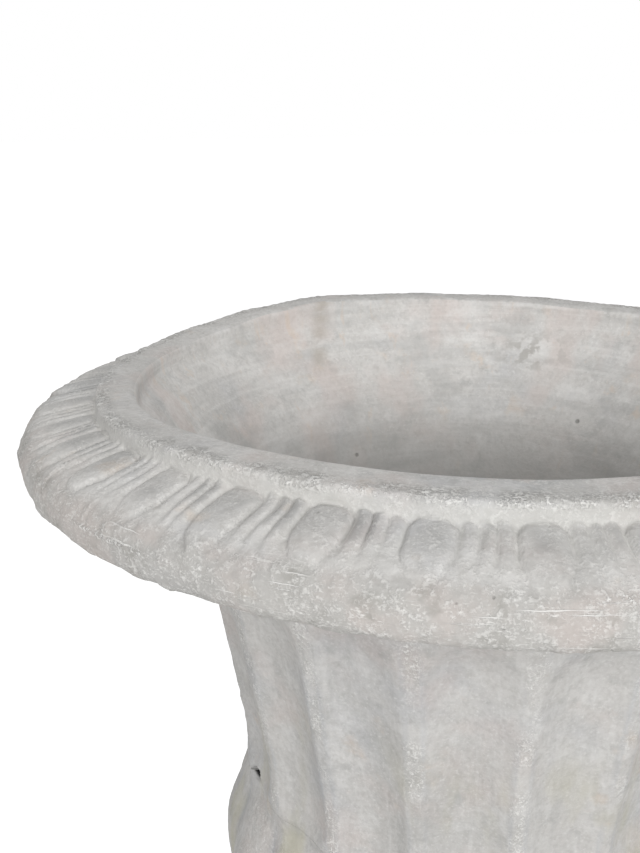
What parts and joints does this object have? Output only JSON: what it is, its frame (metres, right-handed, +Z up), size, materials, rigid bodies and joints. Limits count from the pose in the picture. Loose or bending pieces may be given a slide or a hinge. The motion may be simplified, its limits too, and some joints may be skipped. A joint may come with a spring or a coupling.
{
  "type": "campana planter",
  "caption": "Round cast-stone planter with an egg-and-dart rim, fluted bell and gadrooned bowl that lifts off a turned socle on a square plinth.",
  "frame": {"origin": "on the floor, on the planter's axis, at the level of the pads' undersides", "axes": "+Z up along the planter's axis; X and Y along the sides of the square plinth"},
  "size_m": [0.452, 0.452, 0.49],
  "materials": {
    "cast_stone": "matte, limewashed and worn",
    "mortar": "matte, sandy",
    "dowel_steel": "satin",
    "pad_rubber": "matte",
    "sleeve_plastic": "matte"
  },
  "bodies": {
    "pedestal": {"plinth": "cast_stone", "foot_bedding": "mortar", "socle": "cast_stone", "drain_sleeve": "sleeve_plastic", "seat_ring": "pad_rubber", "foot_pads": "pad_rubber"},
    "bowl": {"rim": "cast_stone", "rim_bedding": "mortar", "bell": "cast_stone", "waist_bedding": "mortar", "waist_dowels": "dowel_steel", "gadrooned_bowl": "cast_stone"}
  },
  "joints": [
    {"name": "bowl_lift", "type": "slide", "parent": "pedestal", "child": "bowl", "axis": [0, 0, 1], "range_m": [0, 0.08]}
  ]
}
